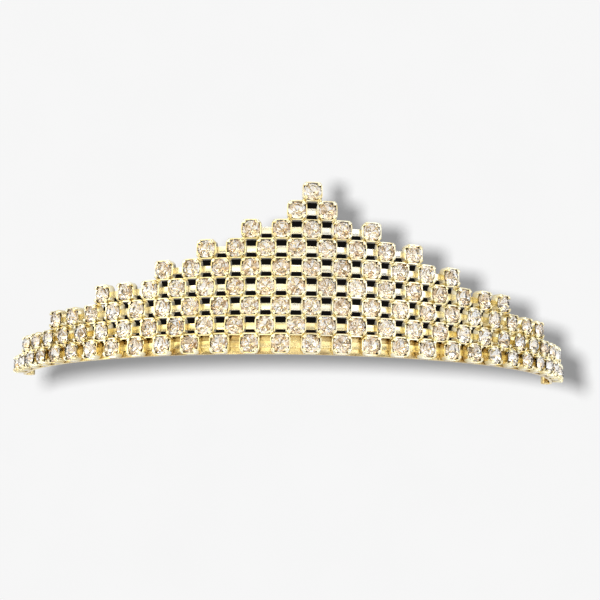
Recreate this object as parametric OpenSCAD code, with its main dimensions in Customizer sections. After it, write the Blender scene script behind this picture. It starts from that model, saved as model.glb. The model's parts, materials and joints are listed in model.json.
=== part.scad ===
// Bridal tiara: nine rows of rhinestone cup chain, stacked like bricks on a curved base band.
// Every row is half a stone pitch off the row below it, and the rows are soldered corner to corner.
// It stands on the lower edge of the band and the bottom cups, with its front facing -Y and its peak up +Z.

/* [Cup chain] */
// Distance from one stone to the next along a row
stone_pitch = 6.4; // [6.2:0.1:7]
// Width of a stone at its girdle
stone_d = 3.9; // [3.6:0.1:4]
// Width of a cup across its flat sides
cup_w = 4.2; // [4.1:0.1:4.3]
// Height of the flat bar that joins two cups
link_h = 1.45; // [1:0.05:2]
// Thickness of that bar
link_t = 0.35; // [0.25:0.05:0.5]

/* [Rows] */
// Height from the bottom row to the second row
base_rise = 3.75; // [3.7:0.05:4.4]
// Height from each higher row to the next
row_rise = 4.05; // [3.9:0.05:4.5]

/* [Base band] */
// Radius of the band's outer face, which the cups are soldered to
band_r = 68.4; // [62:0.2:90]
// Height of the band
band_h = 4.6; // [4.4:0.1:6]
// Thickness of the strip that the band is bent from
band_t = 0.7; // [0.5:0.05:0.9]
// Bore of the eye that each end of the band is rolled into
eye_d = 1.4; // [1.2:0.1:1.6]

/* [Hidden] */
// Stones in each row, from the bottom row to the peak. Neighbours differ by an odd number.
counts = [29, 26, 21, 16, 11, 8, 5, 2, 1];
rows = len(counts);

// A cup, measured outwards from its flat back
floor_t = 0.3;
culet_z = 0.45;
rim_z = 1.75;
girdle_z = 2;
table_z = 2.75;
claw_z = 2.5;
claw_tip_h = 0.3;
claw_tip_r = 0.22;
claw_r = 0.42;
cup_corner_r = 1.2;
corner_steps = 4;
slack = 0.01;

stone_r = stone_d / 2;
table_r = stone_r * 0.6;
stone_sides = 16;
claw_reach = cup_w / 2 * sqrt(2) - claw_r - cup_corner_r * (sqrt(2) - 1);
seat_r = stone_r * (rim_z - culet_z) / (girdle_z - culet_z) + slack;
cut_top = table_z + 1;

// A solder bead fills the gap where two cups touch corner to corner
bead_r = 0.36;
bead_z = 1;
lip_bead_r = 0.3;

// The rows are bent so that the stones keep their pitch at the girdle
step_angle = stone_pitch / 2 / (band_r + girdle_z) * 180 / PI;
end_column = counts[0] - 1;

// The rolled eyes lie just past the last cup, on the inside of the band
eye_r = eye_d / 2 + band_t;
eye_proud = 0.05;
eye_ring_r = band_r - eye_r + eye_proud;
eye_gap = 0.2;
eye_angle = end_column * step_angle + (cup_w / 2 + eye_r + eye_gap) / eye_ring_r * 180 / PI;

// The origin is under the middle of the whole tiara, so the bend's centre lies behind it
front_y = band_r + table_z;
back_y = eye_ring_r * cos(eye_angle) - eye_r;
bend_centre_y = (front_y + back_y) / 2;

gold = [0.91, 0.8, 0.47];
bright_gold = [0.97, 0.9, 0.62];
solder_gold = [0.83, 0.76, 0.55];
crystal = [0.93, 0.92, 0.88];

// Centre height of row r, where row 1 is the bottom one
function row_z(r) = cup_w / 2 + (r > 1 ? base_rise + (r - 2) * row_rise : 0);

// Column of each stone of row r, counted in half pitches from the middle of the tiara
function columns(r) = [for (k = [0 : counts[r - 1] - 1]) 2 * k - (counts[r - 1] - 1)];

// Column of each bar of row r, half way between two stones
function gaps(r) = [for (c = columns(r)) if (c < counts[r - 1] - 1) c + 1];

// Columns at which the cups of row r touch cups of the row above
function joints(r) = [for (c = columns(r + 1), side = [-1, 1]) [c, side]];

// Corner points of a square of width w whose corners are rounded to radius r
function rounded_square(w, r) = [
    for (quarter = [0 : 3], k = [0 : corner_steps])
        let (a = 90 * (quarter + k / corner_steps), corner = 90 * quarter + 45)
            [cos(a), sin(a)] * r + [cos(corner), sin(corner)] * (w / 2 - r) * sqrt(2)
];

// Points of one ring of a stone's facets
function facet_ring(sides, r, z, turn) = [
    for (k = [0 : sides - 1])
        let (a = 360 / sides * k + turn) [r * cos(a), r * sin(a), z]
];

// Puts a child that faces +Z on the bend, at a column and a height, facing outwards
module on_bend(column, z) {
    translate([0, bend_centre_y, 0])
        rotate([0, 0, column * step_angle])
            translate([0, -band_r, z])
                rotate([90, 0, 0])
                    children();
}

module claw() {
    cylinder(h = claw_z - claw_tip_h, r = claw_r, $fn = 24);
    translate([0, 0, claw_z - claw_tip_h])
        cylinder(h = claw_tip_h, r1 = claw_r, r2 = claw_tip_r, $fn = 24);
}

// The hollow of a cup: a well for the point of the stone, a rim under its girdle, and its crown
module seat() {
    rotate_extrude($fn = 48)
        polygon([
            [0, floor_t],
            [seat_r, floor_t],
            [seat_r, rim_z],
            [stone_r + slack, rim_z],
            [stone_r + slack, girdle_z],
            [table_r + slack, table_z],
            [table_r + slack, cut_top],
            [0, cut_top]
        ]);
}

module cup() {
    difference() {
        union() {
            linear_extrude(height = rim_z)
                polygon(rounded_square(cup_w, cup_corner_r));
            for (a = [45 : 90 : 315])
                rotate([0, 0, a])
                    translate([claw_reach, 0, 0])
                        claw();
        }
        seat();
    }
}

// A foil-backed stone: an eight-sided table, a crown of triangles and a pointed back
module stone() {
    half = stone_sides / 2;
    points = concat(
        facet_ring(half, table_r, table_z, 0),
        facet_ring(stone_sides, stone_r, girdle_z, 0),
        [[0, 0, culet_z]]
    );
    point = half + stone_sides;
    function table_at(k) = k % half;
    function girdle_at(k) = half + k % stone_sides;
    polyhedron(
        points = points,
        faces = concat(
            [[for (k = [half - 1 : -1 : 0]) k]],
            [for (k = [0 : half - 1]) [table_at(k), table_at(k + 1), girdle_at(2 * k + 1)]],
            [for (k = [0 : half - 1]) [table_at(k), girdle_at(2 * k + 1), girdle_at(2 * k)]],
            [for (k = [0 : half - 1]) [table_at(k + 1), girdle_at(2 * k + 2), girdle_at(2 * k + 1)]],
            [for (k = [0 : stone_sides - 1]) [girdle_at(k), girdle_at(k + 1), point]]
        )
    );
}

module link() {
    half_gap = band_r * sin(step_angle) - cup_w / 2 + slack;
    translate([-half_gap, -link_h / 2, 0])
        cube([2 * half_gap, link_h, link_t]);
}

module cup_row(r) {
    color(gold)
        for (c = columns(r))
            on_bend(c, row_z(r))
                cup();
}

module stone_row(r) {
    color(crystal)
        for (c = columns(r))
            on_bend(c, row_z(r))
                stone();
}

module link_row(r) {
    color(bright_gold)
        for (c = gaps(r))
            on_bend(c, row_z(r))
                link();
}

// Beads where each cup of the row above touches the two cups under it
module solder_row(r) {
    color(solder_gold)
        for (touch = joints(r))
            on_bend(touch[0] + touch[1] / 2, (row_z(r) + row_z(r + 1)) / 2)
                translate([0, 0, bead_z])
                    sphere(r = bead_r, $fn = 24);
}

// Beads along the upper lip of the band, one behind the top of each cup
module base_band_solder() {
    color(solder_gold)
        for (c = columns(1))
            on_bend(c, cup_w)
                sphere(r = lip_bead_r, $fn = 24);
}

// A flat strip bent to the curve of the head, with each end rolled into an eye
module base_band() {
    color(gold)
        translate([0, bend_centre_y, 0])
            difference() {
                union() {
                    rotate([0, 0, -90 - eye_angle])
                        rotate_extrude(angle = 2 * eye_angle, $fn = 180)
                            translate([band_r - band_t, 0])
                                square([band_t, band_h]);
                    eyes(band_h, 0, eye_r);
                }
                eyes(band_h + 2, -1, eye_d / 2);
            }
}

module eyes(h, z, r) {
    for (side = [-1, 1])
        rotate([0, 0, side * eye_angle])
            translate([0, -eye_ring_r, z])
                cylinder(h = h, r = r, $fn = 48);
}

base_band();
base_band_solder();
for (r = [1 : rows]) {
    cup_row(r);
    stone_row(r);
}
for (r = [1 : rows - 1]) {
    link_row(r);
    solder_row(r);
}
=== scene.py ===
import json
import math
import random

import bmesh
import bpy
from mathutils import Matrix, Vector

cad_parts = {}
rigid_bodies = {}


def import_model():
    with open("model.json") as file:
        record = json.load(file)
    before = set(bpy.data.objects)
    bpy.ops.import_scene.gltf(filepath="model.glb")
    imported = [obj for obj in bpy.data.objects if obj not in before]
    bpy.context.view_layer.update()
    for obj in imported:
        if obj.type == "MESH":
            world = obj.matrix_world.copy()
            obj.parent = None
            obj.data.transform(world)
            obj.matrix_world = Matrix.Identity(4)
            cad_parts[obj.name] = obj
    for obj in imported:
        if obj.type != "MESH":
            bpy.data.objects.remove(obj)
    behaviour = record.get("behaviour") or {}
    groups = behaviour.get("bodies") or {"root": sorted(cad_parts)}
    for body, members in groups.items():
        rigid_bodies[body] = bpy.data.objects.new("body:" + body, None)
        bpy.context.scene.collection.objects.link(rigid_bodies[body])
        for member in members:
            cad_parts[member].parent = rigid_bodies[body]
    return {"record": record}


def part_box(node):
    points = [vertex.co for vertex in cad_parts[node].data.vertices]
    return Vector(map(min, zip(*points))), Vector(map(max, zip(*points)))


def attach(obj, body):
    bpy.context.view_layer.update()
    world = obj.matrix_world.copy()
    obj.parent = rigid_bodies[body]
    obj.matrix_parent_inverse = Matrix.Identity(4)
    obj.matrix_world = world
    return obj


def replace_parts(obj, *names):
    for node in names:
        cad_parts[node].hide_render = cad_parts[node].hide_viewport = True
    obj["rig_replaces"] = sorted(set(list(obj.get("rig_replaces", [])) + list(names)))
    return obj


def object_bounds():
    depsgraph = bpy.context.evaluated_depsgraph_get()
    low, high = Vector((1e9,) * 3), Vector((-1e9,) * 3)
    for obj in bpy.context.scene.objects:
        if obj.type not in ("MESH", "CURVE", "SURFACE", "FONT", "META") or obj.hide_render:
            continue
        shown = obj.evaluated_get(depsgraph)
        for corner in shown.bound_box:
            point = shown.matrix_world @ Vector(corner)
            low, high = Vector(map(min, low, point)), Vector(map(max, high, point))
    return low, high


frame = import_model()
cad_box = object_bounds()


# ---- Base band ----
# A flat brass strip bent to the curve of the head and plated pale gold. Each end is rolled
# inwards into an eye that a hairgrip or a thread goes through. The bottom row is soldered to it.

MM = 0.001
# Closer than this, two places count as one
SLACK = 0.01 * MM
BAND_RADIUS = 68.4 * MM
BAND_THICKNESS = 0.7 * MM
EDGE_ROUNDING = 0.14 * MM
# How far the flat tops of the stones stand out from the band's outer face
TABLE_OUT = 2.75 * MM
BEND_CENTRE = Vector((0, cad_box[0].y + BAND_RADIUS + TABLE_OUT, 0))
EYE_WRAP = math.radians(288)
BAND_STEPS = 72
BAND_CUTS = 5
WRAP_STEPS = 22

# The first colour is the brown of painted shade on the gold
SHADE_BROWN_GOLD = (0.36, 0.25, 0.11, 1)
DULL_GOLD = (0.62, 0.45, 0.21, 1)
WARM_GOLD = (1.0, 0.85, 0.44, 1)
GRAIN_SCALE = 3200
MARK_DEPTH = 0.04 * MM

# How pale the plate is, from 0 to 1, where it is rubbed and lit and where a painted shade darkens it,
# and the shares of the band's height and length that say where
BAND_WEAR_AND_LIGHT = 0.9
BAND_PAINTED_SHADE = 0.5
LOWER_EDGE_SHARE = 0.1
BETWEEN_CUPS_SHARE = 0.6
PAINTED_HIGHLIGHT_EDGE_FROM = 0.65
EYES_FROM = 0.94


class Value:
    """One socket of a shader. An expression on it adds the Math nodes that work it out."""

    def __init__(self, paint, socket):
        self.paint = paint
        self.socket = socket

    def math(self, operation, *values):
        return self.paint.node("ShaderNodeMath", {"operation": operation}, *values)

    def __add__(self, other):
        return self.math("ADD", self, other)

    def __sub__(self, other):
        return self.math("SUBTRACT", self, other)

    def __rsub__(self, other):
        return self.math("SUBTRACT", other, self)

    def __mul__(self, other):
        return self.math("MULTIPLY", self, other)

    __radd__ = __add__
    __rmul__ = __mul__


class Paint:
    """The node tree of one finish."""

    def __init__(self, owner):
        owner.use_nodes = True
        self.tree = owner.node_tree
        self.tree.nodes.clear()

    def node(self, kind, settings, *values, output=0, **named):
        """Adds a node: its settings first, then its sockets by place or by name."""
        made = self.tree.nodes.new(kind)
        for name, setting in settings.items():
            if name == "stops":
                self.set_stops(made.color_ramp, setting)
            else:
                setattr(made, name, setting)
        for place, value in [*enumerate(values), *named.items()]:
            self.feed(made, place, value)
        return Value(self, made.outputs[output]) if made.outputs else None

    def feed(self, made, place, value):
        socket = made.inputs[place.replace("_", " ") if isinstance(place, str) else place]
        if isinstance(value, Value):
            self.tree.links.new(value.socket, socket)
        else:
            socket.default_value = value

    def set_stops(self, ramp, stops):
        while len(ramp.elements) < len(stops):
            ramp.elements.new(1)
        for element, (position, colour) in zip(ramp.elements, stops):
            element.position = position
            element.color = colour

    def noise(self, scale, detail=2):
        place = self.node("ShaderNodeTexCoord", {}, output="Object")
        return self.node("ShaderNodeTexNoise", {}, Vector=place, Scale=scale, Detail=detail)

    def step(self, value, low, high):
        """0 below low, 1 above high, and a smooth rise between them."""
        return self.node("ShaderNodeMapRange", {"interpolation_type": "SMOOTHSTEP"}, value, low, high)

    def mix(self, amount, first, second):
        made = self.tree.nodes.new("ShaderNodeMix")
        made.data_type = "RGBA"
        for place, value in ((0, amount), (6, first), (7, second)):
            self.feed(made, place, value)
        return Value(self, made.outputs[2])

    def attribute(self, name):
        return self.node("ShaderNodeAttribute", {"attribute_name": name}, output="Fac")


def new_finish(name):
    material = bpy.data.materials.new(name)
    return material, Paint(material)


def plated_gold(name, shade, body, shine, rough, patch_scale=520):
    """Thin gold plate with fine handling marks, paler where it is rubbed and where a painted highlight
    falls, and darkened to the shade colour by a painted shade.
    """
    material, paint = new_finish(name)
    patches = paint.noise(patch_scale, 3)
    grain = paint.noise(GRAIN_SCALE, 2)
    rubbed = paint.attribute("rubbed")
    plate = paint.mix(paint.step(patches + (rubbed - 0.6) * 0.25, 0.3, 0.7), body, shine)
    shade_to_plate = rubbed * (0.7 + paint.step(patches, 0.3, 0.6) * 0.3)
    # Painted shade: the plate turns to the shade colour where the attribute is low
    colour = paint.mix(shade_to_plate, shade, plate)
    gloss = rough + (patches - 0.5) * 0.10 + (grain - 0.5) * 0.08
    marks = paint.node("ShaderNodeBump", {}, Strength=0.2, Distance=MARK_DEPTH, Height=grain)
    metal = paint.node(
        "ShaderNodeBsdfPrincipled", {}, Base_Color=colour, Metallic=1.0, Roughness=gloss, Normal=marks
    )
    paint.node("ShaderNodeOutputMaterial", {}, metal)
    return material


def spread(bm, layer_name, amount):
    """Stores a number from 0 to 1 at every corner of a mesh, worked out from its place."""
    layer = bm.verts.layers.float.new(layer_name)
    for vert in bm.verts:
        vert[layer] = min(1, max(0, amount(vert.co)))


def fix_diagonals(bm):
    """Splits each four-sided face from the first of its corners, so that every run shades it alike.

    An extrusion starts its faces at other corners, and puts them in another order, at each run.
    """
    bm.verts.index_update()
    for face in [f for f in bm.faces if len(f.verts) == 4]:
        corners = list(face.verts)
        first = min(range(4), key=lambda place: corners[place].index)
        bmesh.utils.face_split(face, corners[first], corners[first - 2])


def piece_from(name, bm, *materials, sharp_above=None):
    """Turns a mesh into a named piece. Every piece rides on the tiara's one body."""
    mesh = bpy.data.meshes.new(name)
    bm.to_mesh(mesh)
    bm.free()
    for material in materials:
        mesh.materials.append(material)
    if sharp_above:
        mesh.shade_smooth()
        mesh.set_sharp_from_angle(angle=math.radians(sharp_above))
    made = bpy.data.objects.new(name, mesh)
    bpy.context.scene.collection.objects.link(made)
    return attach(made, "root")


band_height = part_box("base_band")[1].z
eye_mount = next(m for m in frame["record"]["mounts"] if m["name"] == "right_eye")
eye_reach = math.atan2(eye_mount["pos_m"][0], BEND_CENTRE.y - eye_mount["pos_m"][1])
eye_radius = BAND_RADIUS - BAND_THICKNESS - eye_mount["dims"]["r_mm"] * MM
eye_centre = BEND_CENTRE + Vector((math.sin(eye_reach), -math.cos(eye_reach), 0)) * eye_radius

bm = bmesh.new()
bmesh.ops.create_grid(bm, x_segments=1, y_segments=1, size=0.5)
bmesh.ops.scale(bm, vec=(BAND_THICKNESS, band_height, 1), verts=bm.verts)
bmesh.ops.bevel(
    bm, geom=bm.verts[:], offset=EDGE_ROUNDING, offset_type="OFFSET", segments=3, profile=0.5,
    affect="VERTICES", material=-1,
)
bmesh.ops.delete(bm, geom=bm.faces[:], context="FACES_ONLY")
long_sides = [e for e in bm.edges if e.calc_length() > band_height / 2]
bmesh.ops.subdivide_edges(bm, edges=long_sides, cuts=BAND_CUTS)
stand_up = Matrix(((0, 0, 1), (1, 0, 0), (0, 1, 0))).to_4x4()
front = BEND_CENTRE + Vector((0, BAND_THICKNESS / 2 - BAND_RADIUS, band_height / 2))
bmesh.ops.transform(bm, matrix=Matrix.Translation(front) @ stand_up, verts=bm.verts)
bent = bmesh.ops.spin(
    bm, geom=bm.verts[:] + bm.edges[:], cent=BEND_CENTRE, axis=(0, 0, 1), angle=eye_reach,
    steps=BAND_STEPS,
)
rolled = bmesh.ops.spin(
    bm, geom=bent["geom_last"], cent=eye_centre, axis=(0, 0, 1), angle=EYE_WRAP, steps=WRAP_STEPS,
)
last_edges = [g for g in rolled["geom_last"] if isinstance(g, bmesh.types.BMEdge)]
bmesh.ops.contextual_create(bm, geom=last_edges)
bmesh.ops.mirror(
    bm, geom=bm.verts[:] + bm.edges[:] + bm.faces[:], matrix=Matrix(), merge_dist=SLACK, axis="X"
)
bmesh.ops.remove_doubles(bm, verts=bm.verts, dist=SLACK / 10)
bmesh.ops.recalc_face_normals(bm, faces=bm.faces)


def band_wear(co):
    """Rubbed inside and at the eyes. On the outer face a painted shade darkens the lower edge and the
    upper part above the bottom bars, under the next row's cups, and a painted highlight keeps the lower
    edge pale at the left end.
    """
    outer_face = (co - BEND_CENTRE).xy.length > BAND_RADIUS - BAND_THICKNESS / 2
    along = co.x / eye_mount["pos_m"][0]
    if abs(along) > EYES_FROM or not outer_face:
        return BAND_WEAR_AND_LIGHT
    share = co.z / band_height
    # Painted shade darkens the lower edge and the upper part above the bars; at the left end a painted
    # highlight keeps the lower edge pale
    if share < LOWER_EDGE_SHARE:
        return BAND_WEAR_AND_LIGHT if along < -PAINTED_HIGHLIGHT_EDGE_FROM else BAND_PAINTED_SHADE
    return BAND_WEAR_AND_LIGHT if share < BETWEEN_CUPS_SHARE else BAND_PAINTED_SHADE


fix_diagonals(bm)
spread(bm, "rubbed", band_wear)

# The band's finish is a darker, duller copy of the gold: a painted shade on the band behind the cups
band_gold = plated_gold("band_gold", SHADE_BROWN_GOLD, DULL_GOLD, WARM_GOLD, 0.24)
band = piece_from("curved_band", bm, band_gold, sharp_above=50)
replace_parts(band, "base_band")


# ---- Cups ----
# Each stone sits in a small pan stamped from thin brass, rounded square, with four claws at its
# corners that are pressed over the stone. The rows are half a pitch apart, so the claws of one
# row meet the claws of the next.

STONES_IN_ROW = [29, 26, 21, 16, 11, 8, 5, 2, 1]
STONE_PITCH = 6.4 * MM
# How far the widest part of a stone stands out from the band's outer face, where the pitch is measured
GIRDLE_OUT = 2.0 * MM
# A column is half a pitch
STEP_ANGLE = STONE_PITCH / 2 / (BAND_RADIUS + GIRDLE_OUT)
CUP_WIDTH = 4.2 * MM
CUP_CORNER = 1.2 * MM
RIM_OUT = 1.75 * MM
FLOOR_OUT = 0.3 * MM
RIM_WIDTH = 0.26 * MM
WELL_TAPER = 0.55
BACK_ROUNDING = 0.32 * MM
DIMPLE = 0.12 * MM
DIMPLE_MARGIN = CUP_WIDTH * 0.2
CLAW_WIDTH = 0.94 * MM
CLAW_THICKNESS = 0.42 * MM
CLAW_ROUNDING = CLAW_THICKNESS * 0.36
CLAW_FOOT_OUT = 0.35 * MM
# Each bend of a claw: how far out it ends, how far towards the stone it moves, its lean and its size
CLAW_BENDS = [
    (1.70 * MM, 0.00 * MM, 0, 1.0),
    (2.18 * MM, 0.02 * MM, 10, 1.0),
    (2.46 * MM, 0.16 * MM, 30, 0.94),
    (2.60 * MM, 0.40 * MM, 55, 0.80),
    (2.62 * MM, 0.62 * MM, 75, 0.52),
]
LEMON_GOLD = (1.0, 0.95, 0.70, 1)
CUP_BACK_PALENESS = 0.3
CUP_RIM_PALENESS = 0.9


def row_columns(row):
    """The columns of a row's stones. Column 0 is in the middle, and neighbours are two apart."""
    count = STONES_IN_ROW[row - 1]
    return range(1 - count, count, 2)


def row_height(row):
    """The height of the middle of a row, from the frame."""
    low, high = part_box(f"row_{row}_cups")
    return (low.z + high.z) / 2


def bend_place(column, height):
    """Where a child that faces +Z goes on the bend, with its back on the band's outer face."""
    turn = Matrix.Rotation(column * STEP_ANGLE, 4, "Z")
    stand = Matrix.Rotation(math.pi / 2, 4, "X")
    return Matrix.Translation(BEND_CENTRE) @ turn @ Matrix.Translation((0, -BAND_RADIUS, height)) @ stand


def copies(pattern, places):
    """One mesh that holds the pattern at every place."""
    bm = bmesh.new()
    for place in places:
        start = len(bm.verts)
        bm.from_mesh(pattern)
        bm.verts.ensure_lookup_table()
        bmesh.ops.transform(bm, matrix=place, verts=bm.verts[start:])
    return bm


def kept_pattern(name, bm):
    """Keeps a mesh to copy from. It isn't a piece, and it is deleted once all its copies are made."""
    mesh = bpy.data.meshes.new(name)
    bm.to_mesh(mesh)
    bm.free()
    return mesh


def drawn_out(bm, face):
    """Extrudes a face and gives back its copy, and leaves no wall inside the solid."""
    grown = bmesh.ops.extrude_face_region(bm, geom=[face])["geom"]
    if face.is_valid and all(len(edge.link_faces) > 2 for edge in face.edges):
        bmesh.ops.delete(bm, geom=[face], context="FACES_ONLY")
    return next(g for g in grown if isinstance(g, bmesh.types.BMFace))


def claw(bm, angle):
    """Draws one claw up from the corner of the pan and over the edge of the stone."""
    start = len(bm.verts)
    bmesh.ops.create_grid(bm, x_segments=1, y_segments=1, size=0.5)
    bm.verts.ensure_lookup_table()
    foot = bm.verts[start:]
    bmesh.ops.scale(bm, vec=(CLAW_THICKNESS, CLAW_WIDTH, 1), verts=foot)
    bmesh.ops.bevel(
        bm, geom=foot, offset=CLAW_ROUNDING, offset_type="OFFSET", segments=2, profile=0.5,
        affect="VERTICES", material=-1,
    )
    bm.verts.ensure_lookup_table()
    reach = CUP_WIDTH / 2 * math.sqrt(2) - CUP_CORNER * (math.sqrt(2) - 1) - CLAW_THICKNESS / 2
    bmesh.ops.translate(bm, vec=(reach, 0, CLAW_FOOT_OUT), verts=bm.verts[start:])
    bm.faces.ensure_lookup_table()
    end = bm.faces[-1]
    outline = [v.co - Vector((reach, 0, CLAW_FOOT_OUT)) for v in end.verts]
    for out, inward, lean, size in CLAW_BENDS:
        end = drawn_out(bm, end)
        tilt = Matrix.Rotation(math.radians(-lean), 3, "Y")
        for vert, offset in zip(end.verts, outline):
            vert.co = Vector((reach - inward, 0, out)) + tilt @ (offset * size)
    bm.verts.ensure_lookup_table()
    bmesh.ops.rotate(bm, cent=(0, 0, 0), matrix=Matrix.Rotation(angle, 3, "Z"), verts=bm.verts[start:])


bm = bmesh.new()
bmesh.ops.create_cube(bm, size=1)
bmesh.ops.scale(bm, vec=(CUP_WIDTH, CUP_WIDTH, RIM_OUT), verts=bm.verts)
bmesh.ops.translate(bm, vec=(0, 0, RIM_OUT / 2), verts=bm.verts)
corner_edges = [e for e in bm.edges if abs(e.verts[0].co.z - e.verts[1].co.z) > RIM_OUT / 2]
bmesh.ops.bevel(
    bm, geom=corner_edges, offset=CUP_CORNER, offset_type="OFFSET", segments=5, profile=0.5,
    affect="EDGES", material=-1,
)
back_edges = [e for e in bm.edges if max(v.co.z for v in e.verts) < SLACK]
bmesh.ops.bevel(
    bm, geom=back_edges, offset=BACK_ROUNDING, offset_type="OFFSET", segments=2, profile=0.5,
    affect="EDGES", material=-1,
)
back = min(bm.faces, key=lambda f: f.calc_center_median().z)
mouth = max(bm.faces, key=lambda f: f.calc_center_median().z)
bmesh.ops.inset_region(bm, faces=[back], thickness=DIMPLE_MARGIN, depth=-DIMPLE)
bmesh.ops.inset_region(bm, faces=[mouth], thickness=RIM_WIDTH, depth=0)
well_floor = drawn_out(bm, mouth)
bmesh.ops.translate(bm, vec=(0, 0, FLOOR_OUT - RIM_OUT), verts=well_floor.verts)
bmesh.ops.scale(bm, vec=(WELL_TAPER, WELL_TAPER, 1), verts=well_floor.verts)
for corner in range(4):
    claw(bm, math.radians(45 + 90 * corner))
bmesh.ops.recalc_face_normals(bm, faces=bm.faces)
fix_diagonals(bm)
# A painted shade darkens each cup towards its back, between the cups, and it grows paler up to the rim
# and claws, which are rubbed and carry a painted highlight
more_at_rim = CUP_RIM_PALENESS - CUP_BACK_PALENESS
spread(bm, "rubbed", lambda co: CUP_BACK_PALENESS + more_at_rim * co.z / RIM_OUT)
cup_pattern = kept_pattern("cup_pattern", bm)

cup_gold = plated_gold("cup_gold", SHADE_BROWN_GOLD, WARM_GOLD, LEMON_GOLD, 0.16)
for row in range(1, len(STONES_IN_ROW) + 1):
    height = row_height(row)
    places = [bend_place(c, height) for c in row_columns(row)]
    cups = piece_from(f"claw_cups_{row}", copies(cup_pattern, places), cup_gold, sharp_above=38)
    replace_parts(cups, f"row_{row}_cups")


# ---- Stones ----
# Clear chatons of machine-cut glass: an eight-sided table, a crown of triangles, a thin girdle
# and a sixteen-sided point. The point is foiled, so the stone throws light back at the viewer.

STONE_RADIUS = 1.9 * MM
TABLE_RADIUS = 1.08 * MM
GIRDLE_DEPTH = 0.12 * MM
POINT_OUT = 0.45 * MM
# Each ring of the pointed back: how far behind the girdle it is, and its share of the radius
PAVILION_RINGS = [(GIRDLE_DEPTH, 1.0), (0.92 * MM, 0.54)]
STONE_TILT = 3.0
HALF_SIDES = 8
# The tones of the foil's facets, painted reflections from smoky brown through cream to white and faint
# blue
FOIL_REFLECTION_TONES = [
    (0.0, (0.40, 0.28, 0.16, 1)),
    (0.2, (0.78, 0.62, 0.44, 1)),
    (0.42, (1.0, 0.91, 0.79, 1)),
    (0.7, (1.0, 0.99, 0.95, 1)),
    (1.0, (0.92, 0.95, 1.0, 1)),
]
dice = random.Random(7)


def wobble(most):
    """A small turn of a hand-set piece about its own centre, in degrees."""
    spin = Matrix.Rotation(math.radians(dice.uniform(-most, most)), 4, "Y")
    return spin @ Matrix.Rotation(math.radians(dice.uniform(-most, most)), 4, "X")


bm = bmesh.new()
bmesh.ops.create_cone(
    bm, cap_ends=True, cap_tris=False, segments=HALF_SIDES, radius1=STONE_RADIUS, radius2=TABLE_RADIUS,
    depth=TABLE_OUT - GIRDLE_OUT,
)
bmesh.ops.translate(bm, vec=(0, 0, (TABLE_OUT + GIRDLE_OUT) / 2), verts=bm.verts)
girdle_edges = [e for e in bm.edges if max(v.co.z for v in e.verts) < GIRDLE_OUT + SLACK]
split = bmesh.ops.subdivide_edges(bm, edges=girdle_edges, cuts=1)
for vert in (g for g in split["geom_inner"] if isinstance(g, bmesh.types.BMVert)):
    vert.co.xy = vert.co.xy.normalized() * STONE_RADIUS
    table_corners = [v for v in bm.verts if v.co.z > TABLE_OUT - SLACK]
    nearest = sorted(table_corners, key=lambda corner: (corner.co - vert.co).length)
    for corner in nearest[:2]:
        bmesh.ops.connect_vert_pair(bm, verts=[vert, corner])
back = min(bm.faces, key=lambda f: f.calc_center_median().z)
for depth, size in PAVILION_RINGS:
    back = drawn_out(bm, back)
    for vert in back.verts:
        vert.co = (*vert.co.xy.normalized() * STONE_RADIUS * size, GIRDLE_OUT - depth)
point = bmesh.ops.poke(bm, faces=[back])
point["verts"][0].co.z = POINT_OUT
for face in bm.faces:
    if face.calc_center_median().z < GIRDLE_OUT - GIRDLE_DEPTH:
        face.material_index = 1
bmesh.ops.recalc_face_normals(bm, faces=bm.faces)
stone_pattern = kept_pattern("stone_pattern", bm)


def cut_glass():
    material, paint = new_finish("cut_glass")
    smears = paint.noise(900, 2)
    glass = paint.node(
        "ShaderNodeBsdfPrincipled", {}, Base_Color=(1.0, 0.985, 0.955, 1),
        Roughness=paint.step(smears, 0.45, 0.9) * 0.05, IOR=1.56, Transmission_Weight=1.0,
    )
    paint.node("ShaderNodeOutputMaterial", {}, glass)
    return material


def mirror_foil():
    """Silvered facets, each with a painted reflection, a random tone from smoky brown through gold and
    cream to white.
    """
    material, paint = new_finish("mirror_foil")
    flecks = paint.noise(1500, 2)
    glint = paint.attribute("glint") + (flecks - 0.5) * 0.3
    tone = paint.node("ShaderNodeValToRGB", {"stops": FOIL_REFLECTION_TONES}, glint)
    foil = paint.node("ShaderNodeBsdfPrincipled", {}, Base_Color=tone, Metallic=1.0, Roughness=0.06)
    paint.node("ShaderNodeOutputMaterial", {}, foil)
    return material


glass = cut_glass()
foil = mirror_foil()
for row in range(1, len(STONES_IN_ROW) + 1):
    height = row_height(row)
    places = []
    for column in row_columns(row):
        seat = Vector((0, 0, GIRDLE_OUT))
        clocked = Matrix.Rotation(dice.uniform(0, math.tau / HALF_SIDES), 4, "Z")
        tilted = Matrix.Translation(seat) @ wobble(STONE_TILT) @ Matrix.Translation(-seat)
        places.append(bend_place(column, height) @ tilted @ clocked)
    bm = copies(stone_pattern, places)
    layer = bm.loops.layers.float.new("glint")
    bm.verts.index_update()
    # Each facet draws the tone of its painted reflection
    for face in sorted(bm.faces, key=lambda facet: sorted(vert.index for vert in facet.verts)):
        glint = dice.random()
        for loop in face.loops:
            loop[layer] = glint
    stones = piece_from(f"stones_{row}", bm, glass, foil)
    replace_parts(stones, f"row_{row}_stones")


# ---- Links ----
# Flat bars of rolled brass that join the backs of neighbouring cups and make them a chain.
# They cross the gaps between the stones. The bottom row's lie on the band and take its finish, a painted
# shade, and the second row's a darker, more amber copy of the bars' finish, also a painted shade.

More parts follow.
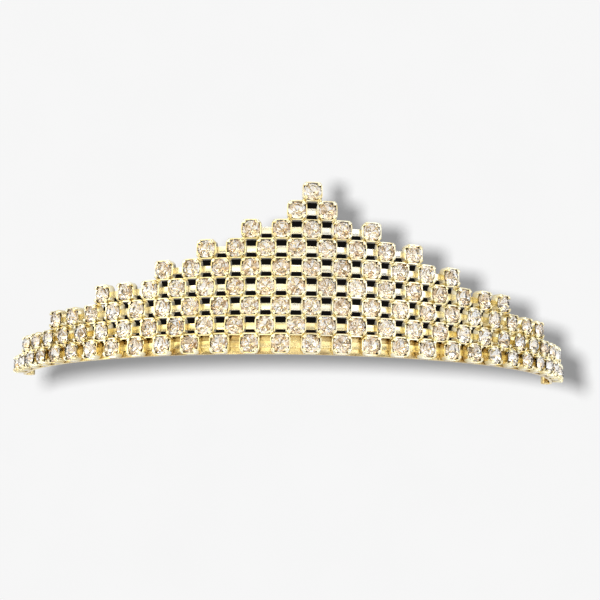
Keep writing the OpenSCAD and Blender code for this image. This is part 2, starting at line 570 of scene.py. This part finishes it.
LINK_HEIGHT = 1.45 * MM
LINK_THICKNESS = 0.35 * MM
LINK_ROUNDING = 0.1 * MM
LINK_OVERLAP = 0.04 * MM
LINK_OUT = LINK_THICKNESS * 0.75
LINK_TILT = 4.0
AMBER_GOLD = (1.0, 0.76, 0.26, 1)
PALE_GOLD = (1.0, 0.93, 0.62, 1)
WHITE_GOLD = (1.0, 0.98, 0.86, 1)
LINK_ROUGHNESS = 0.2
LINK_PATCH_SCALE = 170
LINK_PALENESS = 0.8
LINK_FRONT_PALENESS = 1.0

bm = bmesh.new()
link_length = 2 * (BAND_RADIUS * math.sin(STEP_ANGLE) - CUP_WIDTH / 2) + LINK_OVERLAP
bmesh.ops.create_cube(bm, size=1)
bmesh.ops.scale(bm, vec=(link_length, LINK_HEIGHT, LINK_THICKNESS), verts=bm.verts)
long_edges = [e for e in bm.edges if abs(e.verts[0].co.x - e.verts[1].co.x) > link_length / 2]
bmesh.ops.bevel(
    bm, geom=long_edges, offset=LINK_ROUNDING, offset_type="OFFSET", segments=3, profile=0.5,
    affect="EDGES", material=-1,
)
bmesh.ops.recalc_face_normals(bm, faces=bm.faces)
# A painted shade darkens each bar towards its back, against the cups and band; its front is palest
more_in_front = LINK_FRONT_PALENESS - LINK_PALENESS
spread(bm, "rubbed", lambda co: LINK_PALENESS + more_in_front * co.z / (LINK_THICKNESS / 2))
link_pattern = kept_pattern("link_pattern", bm)

link_gold = plated_gold(
    "link_gold", WARM_GOLD, PALE_GOLD, WHITE_GOLD, LINK_ROUGHNESS, LINK_PATCH_SCALE
)
low_link_gold = plated_gold(
    "low_link_gold", DULL_GOLD, AMBER_GOLD, PALE_GOLD, LINK_ROUGHNESS, LINK_PATCH_SCALE
)
# The two lowest rows of bars take darker finishes, as painted shade
finishes = {1: band_gold, 2: low_link_gold}
out = Matrix.Translation((0, 0, LINK_OUT))
for row in range(1, len(STONES_IN_ROW)):
    height = row_height(row)
    places = [bend_place(c + 1, height) @ out @ wobble(LINK_TILT) for c in row_columns(row)[:-1]]
    finish = finishes.get(row, link_gold)
    links = piece_from(f"link_bars_{row}", copies(link_pattern, places), finish, sharp_above=40)
    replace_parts(links, f"row_{row}_links")


# ---- Solder ----
# Small beads that run between the claws of one row and the cups of the next, and along the
# upper lip of the band behind each bottom cup. The plating covers them, slightly duller.

BEAD_RADIUS = 0.36 * MM
BEAD_OUT = 1.0 * MM
LIP_BEAD_RADIUS = 0.3 * MM
BEAD_LUMPS = 0.08
BEAD_SPREAD = 1.9
BEAD_PALENESS = 0.5
BEAD_FRONT_PALENESS = 0.9


def bead_pattern(name, radius, spread_out):
    """A slightly lumpy ball, flattened by being wider than it is deep."""
    bm = bmesh.new()
    bmesh.ops.create_icosphere(bm, subdivisions=2, radius=radius)
    for vert in bm.verts:
        vert.co *= 1 - dice.uniform(0, BEAD_LUMPS)
    bmesh.ops.scale(bm, vec=(spread_out, spread_out, 1), verts=bm.verts)
    # A painted shade darkens each bead towards its back, between the cups; its front is palest
    more_in_front = BEAD_FRONT_PALENESS - BEAD_PALENESS
    spread(bm, "rubbed", lambda co: BEAD_PALENESS + more_in_front * co.z / radius)
    return kept_pattern(name, bm)


solder_gold = plated_gold("solder_gold", SHADE_BROWN_GOLD, WARM_GOLD, PALE_GOLD, 0.34)
bead = bead_pattern("bead_pattern", BEAD_RADIUS, BEAD_SPREAD)
lip_bead = bead_pattern("lip_bead_pattern", LIP_BEAD_RADIUS, 1)
out = Matrix.Translation((0, 0, BEAD_OUT))
for row in range(1, len(STONES_IN_ROW)):
    height = (row_height(row) + row_height(row + 1)) / 2
    touches = [column + side / 2 for column in row_columns(row + 1) for side in (-1, 1)]
    places = [bend_place(touch, height) @ out for touch in touches]
    beads = piece_from(f"solder_{row}_{row + 1}", copies(bead, places), solder_gold, sharp_above=60)
    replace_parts(beads, f"row_{row}_{row + 1}_solder")
lip = row_height(1) + CUP_WIDTH / 2
places = [bend_place(column, lip) for column in row_columns(1)]
beads = piece_from("solder_band", copies(lip_bead, places), solder_gold, sharp_above=60)
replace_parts(beads, "base_band_solder")
for pattern in (cup_pattern, stone_pattern, link_pattern, bead, lip_bead):
    bpy.data.meshes.remove(pattern)


# ---- Camera ----
# In front of the tiara, slightly towards -X and a little below it. It looks up at the middle of
# the rows.

CAMERA_AZIMUTH = -4.4
CAMERA_ELEVATION = -9.6
CAMERA_ROLL = 0.6
CAMERA_DISTANCE = 244 * MM
CAMERA_LENS = 68.9
NEAREST_SEEN = 10 * MM
AIM = Vector((-1.85, -20.0, 12.3)) * MM


def heading(azimuth, elevation):
    """The direction to a point seen at these angles from the front, in degrees."""
    turn = math.radians(azimuth)
    rise = math.radians(elevation)
    return Vector((math.sin(turn) * math.cos(rise), -math.cos(turn) * math.cos(rise), math.sin(rise)))


towards_camera = heading(CAMERA_AZIMUTH, CAMERA_ELEVATION)
camera = bpy.data.objects.new("camera", bpy.data.cameras.new("camera"))
bpy.context.scene.collection.objects.link(camera)
camera.data.lens = CAMERA_LENS
camera.data.clip_start = NEAREST_SEEN
camera.rotation_mode = "QUATERNION"
look = (-towards_camera).to_track_quat("-Z", "Y")
camera.rotation_quaternion = look @ Matrix.Rotation(math.radians(CAMERA_ROLL), 3, "Z").to_quaternion()
camera.location = AIM + towards_camera * CAMERA_DISTANCE
bpy.context.scene.camera = camera
bpy.context.scene.view_settings.view_transform = "Standard"


# ---- Stage and light ----
# A pale floor under the band and a pale wall behind it, both plain. Each shows only its lit
# face, so a low camera looks past the floor and a camera behind looks past the wall.

SHEET_SIZE = 3.0
FLOOR_DROP = 0.05 * MM
WALL_BEHIND = 4 * MM


def front_only(paint, shader):
    """Ends a finish that shows on the face side of a sheet and is clear from behind."""
    behind = paint.node("ShaderNodeNewGeometry", {}, output="Backfacing")
    clear = paint.node("ShaderNodeBsdfTransparent", {})
    shown = paint.node("ShaderNodeMixShader", {}, behind, shader, clear)
    paint.node("ShaderNodeOutputMaterial", {}, shown)


def stage_piece(name, bm, material):
    """Turns a mesh into a sheet of the stage, which throws no shadow and no light on anything."""
    mesh = bpy.data.meshes.new(name)
    bm.to_mesh(mesh)
    bm.free()
    mesh.materials.append(material)
    made = bpy.data.objects.new(name, mesh)
    bpy.context.scene.collection.objects.link(made)
    made.visible_diffuse = False
    made.visible_shadow = False
    return made


def sheet_at(matrix):
    """A large flat sheet that the matrix puts in place, with its face along the matrix's +Z."""
    bm = bmesh.new()
    bmesh.ops.create_grid(bm, x_segments=1, y_segments=1, size=SHEET_SIZE / 2)
    bmesh.ops.transform(bm, matrix=matrix, verts=bm.verts)
    return bm


stage_white, paint = new_finish("stage_white")
white = paint.mix(paint.noise(60, 2), (0.9, 0.9, 0.9, 1), (0.88, 0.88, 0.88, 1))
front_only(paint, paint.node("ShaderNodeBsdfDiffuse", {}, white))
floor = stage_piece("floor", sheet_at(Matrix.Translation((0, 0, -FLOOR_DROP))), stage_white)
floor.visible_glossy = False
wall_y = cad_box[1].y + WALL_BEHIND
wall_place = Matrix.Translation((0, wall_y, 0)) @ Matrix.Rotation(math.pi / 2, 4, "X")
wall = stage_piece("wall", sheet_at(wall_place), stage_white)


# A dark card, a painted shade, follows the backs of the rows, and a faint warm glow sets how dark it is.
# Only a camera in front of them sees it, through the gaps.

BACKING_BEHIND = 0.25 * MM
BACKING_LOWERED = CUP_WIDTH / 2
BACKING_SHADE_GLOW = 0.007
CARD_STEPS = 48


def rows_outline(radius, lowered=0):
    """A sheet with the stepped outline of the rows, on their curve, with its face outwards."""
    bm = bmesh.new()
    for row in range(1, len(STONES_IN_ROW) + 1):
        bottom = row_height(row) - CUP_WIDTH / 2 - (lowered if row > 1 else 0)
        top = row_height(row) + CUP_WIDTH / 2 - lowered
        reach = (STONES_IN_ROW[row - 1] - 0.5) * STEP_ANGLE
        side = BEND_CENTRE + Matrix.Rotation(-reach, 3, "Z") @ Vector((0, -radius, 0))
        ends = [bm.verts.new((side.x, side.y, z)) for z in (bottom, top)]
        edge = bm.edges.new(ends)
        bmesh.ops.spin(
            bm, geom=[*ends, edge], cent=BEND_CENTRE, axis=(0, 0, 1), angle=2 * reach, steps=CARD_STEPS,
        )
    bm.normal_update()
    for face in bm.faces:
        if face.normal.dot(face.calc_center_median() - BEND_CENTRE) < 0:
            face.normal_flip()
    return bm


backing_black, paint = new_finish("backing_black")
glow = paint.node("ShaderNodeEmission", {}, (1.0, 0.9, 0.8, 1), BACKING_SHADE_GLOW)
front_only(paint, glow)
backing_outline = rows_outline(BAND_RADIUS - BACKING_BEHIND, BACKING_LOWERED)
backing = stage_piece("backing", backing_outline, backing_black)
backing.visible_glossy = False
backing.visible_transmission = False


# A thin card that no camera sees stands in the key light. It gives the rows a soft shadow of about
# their own size on the wall, down and to the right of them as the main camera sees it.

SHADOW_CARD_OUT = 60 * MM
SHADOW_SHIFT = Vector((7.0, 0, -2.0)) * MM
SHADOW_GROWTH = Vector((1.03, 1, 1.07))
SHADOW_LIGHT = 0.345
KEY_AZIMUTH = -8.2
KEY_ELEVATION = -5.0


def seen_on_wall(point):
    """Where the main camera sees a point against the wall."""
    sight = point - camera.location
    return camera.location + sight * ((wall_y - camera.location.y) / sight.y)


key_beam = -heading(KEY_AZIMUTH, KEY_ELEVATION)
wall_aim = seen_on_wall(AIM)
bm = rows_outline(BAND_RADIUS)
for vert in bm.verts:
    on_wall = wall_aim + (seen_on_wall(vert.co) - wall_aim) * SHADOW_GROWTH + SHADOW_SHIFT
    vert.co = on_wall - key_beam * (SHADOW_CARD_OUT / key_beam.y)
veil, paint = new_finish("shadow_veil")
black = paint.node("ShaderNodeBsdfDiffuse", {}, (0.0, 0.0, 0.0, 1))
clear = paint.node("ShaderNodeBsdfTransparent", {})
thinned = paint.node("ShaderNodeMixShader", {}, SHADOW_LIGHT, black, clear)
paint.node("ShaderNodeOutputMaterial", {}, thinned)
shadow_card = stage_piece("shadow_card", bm, veil)
shadow_card.visible_shadow = True
shadow_card.visible_camera = False
shadow_card.visible_glossy = False
shadow_card.visible_transmission = False


# The surroundings are all that lights the tiara. A camera sees them as plain white, and the metal and
# the stones reflect a room of bright and dark panes, a level strip of light and a few soft lamps.

PANE_SCALE = 7.0
PANE_BASE = 0.16
# Each step in how bright the panes are: the low and high end of its edge, and the light it adds
PANE_STEPS = [(0.27, 0.31, 0.4), (0.48, 0.52, 0.6), (0.78, 0.80, 2.4)]
STRIP_FROM = (0.03, 0.07)
STRIP_TO = (0.32, 0.40)
PANES_LOST_IN_STRIP = 0.6
# Each lamp: its direction, its half angle and the width of its soft edge in degrees, and its light
LAMPS = [
    ((-0.7, -0.6, 0.6), 10, 6, 1.5),
    ((0.75, -0.6, 0.35), 9, 5, 1.0),
    ((0.05, -0.8, -0.75), 9, 6, 1.2),
    ((-0.95, 0.1, 0.15), 30, 25, 1.2),
]
DIFFUSE_LIGHT = 0.006
BACKDROP_WHITE = (0.93, 0.93, 0.93, 1)


def soft_patch(paint, direction, towards, half_angle, softness):
    """A soft round patch of light in the surroundings, seen in one direction."""
    aim = Vector(towards).normalized()
    dot = {"operation": "DOT_PRODUCT"}
    along = paint.node("ShaderNodeVectorMath", dot, direction, tuple(aim), output="Value")
    edge = math.cos(math.radians(half_angle + softness))
    return paint.step(along, edge, math.cos(math.radians(half_angle)))


world = bpy.data.worlds.new("studio")
bpy.context.scene.world = world
world.cycles.sampling_method = "NONE"
paint = Paint(world)
direction = paint.node("ShaderNodeTexCoord", {}, output="Generated")
panes = paint.node("ShaderNodeTexVoronoi", {}, Vector=direction, Scale=PANE_SCALE, output="Color")
pane_kind = paint.node("ShaderNodeSeparateColor", {}, panes)
pane_tint = paint.node("ShaderNodeSeparateColor", {}, panes, output=1)
bright_panes = sum(paint.step(pane_kind, low, high) * light for low, high, light in PANE_STEPS)
rise = paint.node("ShaderNodeSeparateXYZ", {}, direction, output=2)
side = paint.node("ShaderNodeSeparateXYZ", {}, direction, output=0)
strip = paint.step(rise, *STRIP_FROM) - paint.step(rise, *STRIP_TO)
lamps = sum(soft_patch(paint, direction, *place) * light for *place, light in LAMPS)
seen = paint.node("ShaderNodeLightPath", {}, output="Is Camera Ray")
scattered = paint.node("ShaderNodeLightPath", {}, output="Is Diffuse Ray")
whiter = paint.step(side + (pane_tint - 0.5) * 1.2, -0.4, 0.3)
tint = paint.mix(whiter, (1.0, 0.94, 0.82, 1), (0.96, 0.97, 1.0, 1))
strip_tint = paint.mix(paint.step(side, -0.3, 0.25), (1.0, 0.92, 0.55, 1), (1.0, 0.97, 0.95, 1))
strip_light = paint.node("ShaderNodeBackground", {}, strip_tint, strip)
room_light = PANE_BASE + bright_panes * (1 - strip * PANES_LOST_IN_STRIP) + lamps
room_glow = paint.node("ShaderNodeBackground", {}, tint, room_light)
reflected = paint.node("ShaderNodeAddShader", {}, strip_light, room_glow)
dim = paint.node("ShaderNodeBackground", {}, (1.0, 1.0, 1.0, 1), DIFFUSE_LIGHT)
pale = paint.node("ShaderNodeBackground", {}, BACKDROP_WHITE, 1.0)
around = paint.node("ShaderNodeMixShader", {}, scattered, reflected, dim)
surround = paint.node("ShaderNodeMixShader", {}, seen, around, pale)
paint.node("ShaderNodeOutputWorld", {}, surround)


# Three far lights light the wall and the floor alone. The key throws the card's shadow on the wall,
# the top light throws the tiara's on the floor, and the fill keeps that one from being black.

KEY_SPREAD = math.radians(4.8)
KEY_STRENGTH = 3.3
TOP_AZIMUTH = -30
TOP_ELEVATION = 62
TOP_SPREAD = 3 * KEY_SPREAD
TOP_STRENGTH = 2.4
FILL_STRENGTH = 1.12


def far_light(name, towards, spread, strength):
    """A soft light that falls evenly from one direction."""
    light = bpy.data.objects.new(name, bpy.data.lights.new(name, "SUN"))
    bpy.context.scene.collection.objects.link(light)
    light.data.angle = spread
    light.data.energy = strength
    light.rotation_mode = "QUATERNION"
    light.rotation_quaternion = (-towards).to_track_quat("-Z", "Y")
    return light


def light_only(light, lit, shading):
    """The light falls on these stage sheets alone, and only these objects throw shadows in it."""
    linked = light.light_linking
    linked.receiver_collection = bpy.data.collections.new(light.name + "_lit")
    linked.blocker_collection = bpy.data.collections.new(light.name + "_shading")
    for sheet in lit:
        linked.receiver_collection.objects.link(sheet)
    for thing in shading:
        linked.blocker_collection.objects.link(thing)


pieces = [thing for thing in bpy.data.objects if "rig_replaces" in thing]
for thing in pieces:
    thing.visible_diffuse = False
key = far_light("key_light", -key_beam, KEY_SPREAD, KEY_STRENGTH)
light_only(key, [wall], [shadow_card])
top = far_light("top_light", heading(TOP_AZIMUTH, TOP_ELEVATION), TOP_SPREAD, TOP_STRENGTH)
light_only(top, [floor], pieces)
# The wall throws no shadow, so nothing stands in this one
fill = far_light("fill_light", Vector((0, 0, 1)), TOP_SPREAD, FILL_STRENGTH)
light_only(fill, [floor], [wall])
